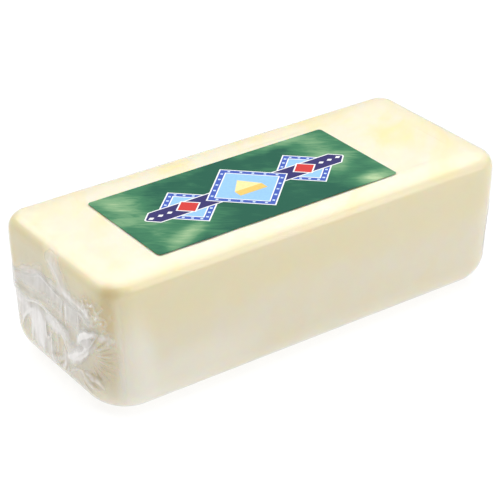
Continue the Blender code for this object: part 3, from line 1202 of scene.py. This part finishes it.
@dataclass
class FilmTail:
    """The doubled tail of film that is folded up against an end: a fold above, a loose hem below."""

    form: BlockForm
    end: End
    wrinkles: Wrinkles
    finish: FilmFinish
    left: float = -0.0510
    right: float = 0.0464
    fold_heights: tuple[float, ...] = (
        54.5, 56.0, 58.0, 60.5, 64.0, 67.5, 65.0, 63.5, 63.0, 62.5, 63.0, 62.5, 60.0,
    )
    hem_heights: tuple[float, ...] = (
        43.0, 44.0, 43.5, 42.0, 45.0, 46.5, 45.5, 43.0, 37.0, 28.5, 34.0, 42.0, 54.0,
    )
    curve_steps: int = 8
    columns: int = 170
    rows: int = 46
    thickness: float = 0.00018
    standoff: float = 0.0003
    snug: float = 0.1
    snug_share: float = 0.3
    lift: float = 0.0016
    lift_power: float = 1.6
    pinned_share: float = 0.18
    hem_haze: float = 0.90
    hem_band: Place = (0.2, 3.0)
    fold_band: Place = (0.0, 3.0)

    def heights(self, values: tuple[float, ...], share: Array) -> Array:
        """Reads a smooth curve through evenly spaced heights at shares of the way along it."""
        route = smooth_route(tuple(enumerate(values)), self.curve_steps)
        return np.interp(share * (len(values) - 1), route[:, 0], route[:, 1]) * MM

    def build(self, name: str) -> Piece:
        """Models the tail and dresses it.

        Args:
            name: The piece's name.

        Returns:
            The tail, a thin closed sheet.
        """
        bpy.ops.mesh.primitive_grid_add(x_subdivisions=self.columns, y_subdivisions=self.rows, size=1.0)
        piece = added(name)
        flat = get_places(piece.data)
        across, down = flat[:, 0] + 0.5, 0.5 - flat[:, 1]
        girth = self.left + (self.right - self.left) * across
        fold = self.heights(self.fold_heights, across)
        hem = self.heights(self.hem_heights, across)
        height = fold + (hem - fold) * down
        relief, haze, crumple, shade = self.wrinkles.press(girth, height)
        freedom = smooth_step(0.0, self.pinned_share, np.minimum(across, 1.0 - across))
        lift = self.lift * freedom * down ** self.lift_power
        below, above = (height - hem) / MM, (fold - height) / MM
        haze = np.maximum(haze, self.hem_haze * (1.0 - smooth_step(*self.hem_band, below)))
        haze = 1.0 - np.sqrt(1.0 - np.clip(haze, 0.0, 1.0) * smooth_step(*self.fold_band, above))
        places, normals = self.form.on_wall(self.end, girth, height)
        loose = self.snug + (1.0 - self.snug) * smooth_step(0.0, self.snug_share, down)
        out = self.standoff * loose + relief + lift
        set_places(piece.data, places + normals * out[:, None])
        paint(piece, {"haze": haze, "crumple": crumple, "shade": shade})
        thicken(piece, Vector((self.end.value, 0.0, 0.0)), self.thickness)
        bpy.ops.object.shade_smooth_by_angle(angle=math.radians(60))
        piece.data.materials.append(self.finish.material())
        return piece


class Outline(Enum):
    """A four-cornered print shape, by how far a square on its corner is turned for it."""

    RECTANGLE = 45.0
    LOZENGE = 0.0


class Layer(IntEnum):
    """How high up in the print a shape lies."""

    GROUND = 0
    OUTER = 1
    OUTER_BEADS = 2
    BAR = 3
    ON_BAR = 4
    TOP = 5


@dataclass
class Label:
    """The printed label on the top: a green ground with three nested lozenges and a bar."""

    block_top: float
    centre: Place
    length: float
    width: float
    turn: float = math.radians(0.2)
    corner: float = 0.0022
    corner_steps: int = 6
    clearance: float = 0.00005
    thickness: float = 0.00012
    print_rise: float = 0.00003
    middle: Place = (0.0020, 0.0)
    lozenge_step: float = 0.0410
    middle_lozenge: Place = (0.0290, 0.0280)
    outer_lozenge: Place = (0.0225, 0.0215)
    borders: tuple[float, ...] = (0.0008, 0.0032, 0.0007)
    border_inks: tuple[Ink, ...] = (Ink.WHITE, Ink.BLUE, Ink.WHITE, Ink.SKY)
    bar: Place = (0.0700, 0.0070)
    bar_cut: float = 0.0062
    stop: Place = (0.0085, 0.0080)
    wedge: Place = (0.0110, 0.0075)
    wedge_depth: float = 0.0058
    bead: float = 0.0011
    beads_per_side: int = 5
    stud: Place = (0.0020, 0.0014)
    stud_margins: Place = (0.0040, 0.0042)
    studs: int = 3

    def build(self) -> list[Piece]:
        """Models the ground and the print, and dresses them."""
        wash = WashFinish(self.centre, self.turn, self.length / 2).material()
        box, diamond = Outline.RECTANGLE, Outline.LOZENGE
        ground = (self.length / 2, self.width / 2)
        pieces = [self.plate("label_ground", box, ground, (0.0, 0.0), Layer.GROUND, (wash,),
                             self.corner, self.corner_steps)]
        x, y = self.middle
        size = self.outer_lozenge
        border, stop, bar = (self.inks(*row) for row in (
            self.border_inks, (Ink.WHITE, Ink.RED), (Ink.WHITE, Ink.NAVY)))
        for name, side in (("near", -1), ("far", 1)):
            place = (x + side * self.lozenge_step, y)
            pieces += (
                self.plate(f"print_lozenge_{name}", diamond, size, place, Layer.OUTER, border),
                self.bead_ring(f"print_beads_{name}", size, place, Layer.OUTER_BEADS),
                self.plate(f"print_stop_{name}", diamond, self.stop, place, Layer.ON_BAR, stop),
            )
        size, place = self.middle_lozenge, self.middle
        pieces += (
            self.plate("print_bar", box, self.bar, place, Layer.BAR, bar, self.bar_cut),
            self.plate("print_lozenge_middle", diamond, size, place, Layer.ON_BAR, border),
            self.bead_ring("print_beads_middle", size, place, Layer.TOP),
            self.stud_row("print_studs", Layer.ON_BAR),
            self.wedge_shape("print_wedge", Layer.TOP),
        )
        return pieces

    def bead_ring(self, name: str, half: Place, place: Place, layer: Layer) -> Piece:
        """Models the small pale squares that sit on a lozenge's blue border.

        Args:
            name: The piece's name.
            half: The lozenge's half length and half width.
            place: Its middle on the label, along and across.
            layer: Their layer.

        Returns:
            The beads, as one piece.
        """
        steps = [(step + 0.5) / self.beads_per_side for step in range(self.beads_per_side)]
        inner = 1.0 - (self.borders[0] + self.borders[1] / 2) * math.hypot(*half) / (half[0] * half[1])
        spots = [
            (right * half[0] * inner * share, up * half[1] * inner * (1.0 - share))
            for right in (-1, 1) for up in (-1, 1) for share in steps
        ]
        return self.scatter(name, spots, (self.bead, self.bead), place, layer, Ink.MIST)

    def stud_row(self, name: str, layer: Layer) -> Piece:
        """Models the rows of small white lozenges near the two ends of the bar."""
        start = self.lozenge_step + self.stop[0] + self.stud_margins[0]
        stop = self.bar[0] - self.stud_margins[1]
        spots = [
            (side * (start + (stop - start) * step / (self.studs - 1)), 0.0)
            for side in (-1, 1) for step in range(self.studs)
        ]
        return self.scatter(name, spots, self.stud, self.middle, layer, Ink.WHITE)

    def scatter(self, name: str, spots: list[Place], half: Place, place: Place, layer: Layer,
                ink: Ink) -> Piece:
        """Models a set of equal small lozenges as one piece.

        Args:
            name: The piece's name.
            spots: Where the lozenges lie, round the set's own middle.
            half: Their half length and half width.
            place: The set's middle on the label, along and across.
            layer: Their layer.
            ink: Their colour.

        Returns:
            The set.
        """
        piece = self.card(name, 4, self.inks(ink))
        with editing():
            bpy.ops.transform.resize(value=(*half, 1.0), center_override=(0.0, 0.0, 0.0))
            bpy.ops.transform.translate(value=(*spots[0], 0.0))
            for last, spot in zip(spots, spots[1:]):
                bpy.ops.mesh.duplicate()
                bpy.ops.transform.translate(value=(spot[0] - last[0], spot[1] - last[1], 0.0))
        return self.finish_print(piece, place, layer)

    @staticmethod
    def inks(*inks: Ink) -> tuple[Material, ...]:
        """Builds the finishes of a row of inks."""
        return tuple(InkFinish(ink).material() for ink in inks)

    @staticmethod
    def card(name: str, sides: int, materials: tuple[Material, ...]) -> Piece:
        """Starts a flat shape: an even polygon of radius 1 round the origin, with its finishes."""
        bpy.ops.mesh.primitive_circle_add(vertices=sides, radius=1.0, fill_type="NGON")
        piece = added(name)
        for material in materials:
            piece.data.materials.append(material)
        return piece

    def plate(self, name: str, outline: Outline, half: Place, place: Place, layer: Layer,
              materials: tuple[Material, ...], cut: float = 0.0,
              segments: int = 1) -> Piece:
        """Models one flat shape with a border for each finish but the last.

        Args:
            name: The piece's name.
            outline: Which shape it is.
            half: Its half length and half width.
            place: Its middle on the label, along and across.
            layer: Its layer.
            materials: The finishes of its borders, from outside, and of its field.
            cut: How much is taken off its corners.
            segments: How many straight pieces each cut corner has.

        Returns:
            The shape, in its place.
        """
        piece = self.card(name, 4, materials)
        turn = math.radians(outline.value)
        stretch = 1.0 / math.cos(turn)
        size = (half[0] * stretch, half[1] * stretch, 1.0)
        with editing():
            bpy.ops.transform.rotate(value=turn, orient_axis="Z", center_override=(0.0, 0.0, 0.0))
            bpy.ops.transform.resize(value=size, center_override=(0.0, 0.0, 0.0))
            if cut:
                bpy.ops.mesh.bevel(offset=cut, segments=segments, affect="VERTICES")
            bpy.ops.mesh.select_all(action="SELECT")
            for index in range(len(materials) - 1):
                bpy.ops.mesh.inset(thickness=self.borders[index], use_even_offset=True)
                piece.active_material_index = index + 1
                bpy.ops.object.material_slot_assign()
        return self.finish_print(piece, place, layer)

    def wedge_shape(self, name: str, layer: Layer) -> Piece:
        """Models a plain wedge of cheese: a pale top and a deeper cut side."""
        piece = self.card(name, 3, self.inks(Ink.CREAM, Ink.STRAW))
        with editing():
            bpy.ops.transform.resize(value=(*self.wedge, 1.0), center_override=(0.0, 0.0, 0.0))
        lowest = min(vertex.co.y for vertex in piece.data.vertices)
        low = [vertex.co.y < lowest + 0.1 * MM for vertex in piece.data.vertices]
        for vertex in piece.data.vertices:
            vertex.select = low[vertex.index]
        for edge in piece.data.edges:
            edge.select = all(low[index] for index in edge.vertices)
        for polygon in piece.data.polygons:
            polygon.select = False
        bpy.ops.object.mode_set(mode="EDIT")
        bpy.ops.mesh.select_mode(type="EDGE")
        bpy.ops.mesh.extrude_region_move(TRANSFORM_OT_translate={"value": (0.0, -self.wedge_depth, 0.0)})
        bpy.ops.mesh.select_mode(type="VERT")
        bpy.ops.object.mode_set(mode="OBJECT")
        for polygon in piece.data.polygons:
            polygon.material_index = int(polygon.center.y < lowest)
        place = (self.middle[0], self.middle[1] + self.wedge_depth / 2)
        return self.finish_print(piece, place, layer)

    def finish_print(self, piece: Piece, place: Place, layer: Layer) -> Piece:
        """Gives a flat shape its thickness, turns it with the label and moves it to its place.

        Args:
            piece: The flat shape, round the origin.
            place: Its middle on the label, along and across.
            layer: Its layer.

        Returns:
            The shape.
        """
        thicken(piece, Vector((0.0, 0.0, 1.0)), self.print_rise if layer else self.thickness)
        above = self.thickness + self.print_rise * (layer - 1) if layer else 0.0
        height = self.block_top + self.clearance + above
        cosine, sine = math.cos(self.turn), math.sin(self.turn)
        flat = get_places(piece.data)
        x, y = flat[:, 0] + place[0], flat[:, 1] + place[1]
        turned = (self.centre[0] + x * cosine - y * sine, self.centre[1] + x * sine + y * cosine)
        set_places(piece.data, np.stack((*turned, flat[:, 2] + height), -1))
        return piece


# The studio


@dataclass(frozen=True)
class Softbox:
    """A square soft light: where it hangs, the length of its sides and its power in watts."""

    name: str
    place: Colour
    size: float
    power: float

    def hang(self, aim: Vector) -> None:
        """Hangs the light so that it faces a point."""
        light = bpy.data.lights.new(self.name, "AREA")
        light.size = self.size
        light.energy = self.power
        box = bpy.data.objects.new(self.name, light)
        bpy.context.scene.collection.objects.link(box)
        box.location = self.place
        box.rotation_euler = (Vector(self.place) - aim).to_track_quat("Z", "Y").to_euler()


@dataclass
class Studio:
    """A white floor, soft light from all round, and the camera."""

    aim: Vector
    lens: float = 131.1
    sensor: float = 36.0
    azimuth: float = -35.272
    elevation: float = 29.145
    roll: float = -0.329
    distance: float = 1.0770
    slide: Place = (-0.00521, -0.00268)
    floor_size: float = 8.0
    floor_finish: FloorFinish = field(default_factory=FloorFinish)
    sky: float = 0.33
    softboxes: tuple[Softbox, ...] = (
        Softbox("top_box", (0.10, 0.28, 1.30), 2.20, 32.5),
        Softbox("left_box", (-1.15, -0.35, 0.75), 0.55, 0.2),
        Softbox("front_box", (0.75, -1.25, 0.85), 0.80, 6.4),
    )

    def build(self) -> None:
        """Sets up the floor, the lights and the camera."""
        bpy.ops.mesh.primitive_plane_add(size=self.floor_size)
        floor = added("floor")
        floor.data.materials.append(self.floor_finish.material())
        self.light_sky()
        for softbox in self.softboxes:
            softbox.hang(self.aim)
        self.place_camera()

    def light_sky(self) -> None:
        """Makes the world an even white."""
        world = bpy.data.worlds.new("studio")
        world.use_nodes = True
        background = world.node_tree.nodes["Background"]
        background.inputs["Color"].default_value = (1.0, 1.0, 1.0, 1.0)
        background.inputs["Strength"].default_value = self.sky
        bpy.context.scene.world = world
        bpy.context.scene.view_settings.view_transform = "Standard"

    def place_camera(self) -> None:
        """Puts the camera where the photograph was taken from."""
        turn, rise, roll = (math.radians(a) for a in (self.azimuth, self.elevation, self.roll))
        back = Vector((math.sin(turn) * math.cos(rise), -math.cos(turn) * math.cos(rise), math.sin(rise)))
        right = Vector((math.cos(turn), math.sin(turn), 0.0))
        up = back.cross(right)
        data = bpy.data.cameras.new("camera")
        data.lens = self.lens
        data.sensor_width = self.sensor
        camera = bpy.data.objects.new("camera", data)
        bpy.context.scene.collection.objects.link(camera)
        cosine, sine = math.cos(roll), math.sin(roll)
        axes = (right * cosine + up * sine, up * cosine - right * sine, back)
        stand = self.aim + back * self.distance + right * self.slide[0] + up * self.slide[1]
        camera.matrix_world = Matrix.Translation(stand) @ Matrix(axes).transposed().to_4x4()
        bpy.context.scene.camera = camera


def main() -> None:
    """Builds the dressed block and the studio round it."""
    logging.basicConfig(level=logging.INFO, format="%(name)s: %(message)s")
    bpy.ops.object.select_all(action="DESELECT")
    form = BlockForm()
    near, far = Wrinkles(), Wrinkles(seed=11.0)
    Studio(Vector((0.0, 0.0, form.height / 2))).build()

    body = Cheddar(form).build()
    install(body, "cheddar", "wrapped_cheddar")
    film = FilmWrap(form, near, far, FilmFinish("film")).build()
    install(film, "film", "wrapped_cheddar")

    for end, wrinkles, side in ((End.NEAR, near, "near"), (End.FAR, far, "far")):
        tail = FilmTail(form, end, wrinkles, FilmFinish(f"tail_film_{side}")).build(f"tail_{side}")
        install(tail, "film", f"film_tail_{side}")

    low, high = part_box("label")
    centre = ((low.x + high.x) / 2, (low.y + high.y) / 2)
    for piece in Label(form.height, centre, high.x - low.x, high.y - low.y).build():
        install(piece, "label", "label")


if __name__ == "__main__":
    main()
